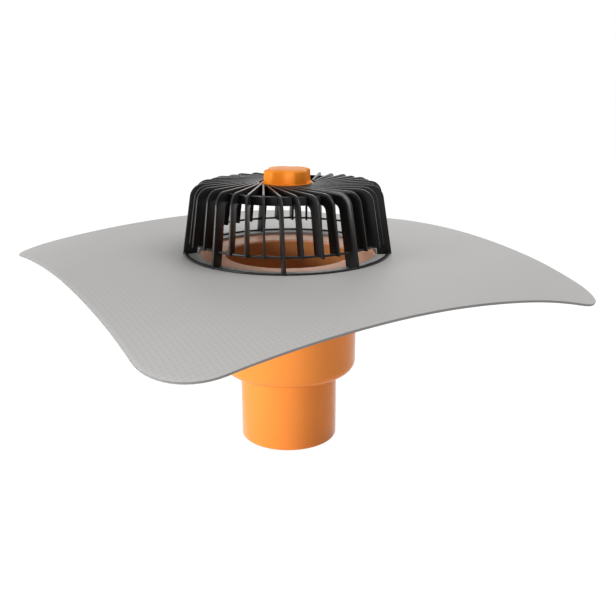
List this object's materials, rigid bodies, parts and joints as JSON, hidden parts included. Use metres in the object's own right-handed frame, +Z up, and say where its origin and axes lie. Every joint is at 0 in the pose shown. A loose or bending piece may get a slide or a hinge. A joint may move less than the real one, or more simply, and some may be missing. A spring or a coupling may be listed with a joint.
{
  "type": "flat roof drain",
  "caption": "Vertical flat roof drain: moulded bowl with spigot, square roofing skirt bonded to its flange, swirled-rib leaf basket and a turning hand knob.",
  "frame": {"origin": "on the drain's vertical axis, at the open end of the spigot", "axes": "+Z up along the drain's axis, X and Y along the sides of the square skirt"},
  "size_m": [0.496, 0.496, 0.3087],
  "materials": {
    "body_plastic": "smooth moulded polyurethane or polypropylene, glossy",
    "skirt_sheet": "grey roofing sheet with a fine embossed weave",
    "basket_plastic": "black moulded plastic, satin",
    "knob_plastic": "orange moulded plastic, satin"
  },
  "bodies": {
    "drain": {"drain_body": "body_plastic", "roofing_skirt": "skirt_sheet", "leaf_basket": "basket_plastic"},
    "knob": {"basket_knob": "knob_plastic"}
  },
  "joints": [
    {"name": "knob_turn", "type": "hinge", "parent": "drain", "child": "knob", "pos_m": [0, 0, 0.2923], "axis": [0, 0, 1], "continuous": true}
  ]
}
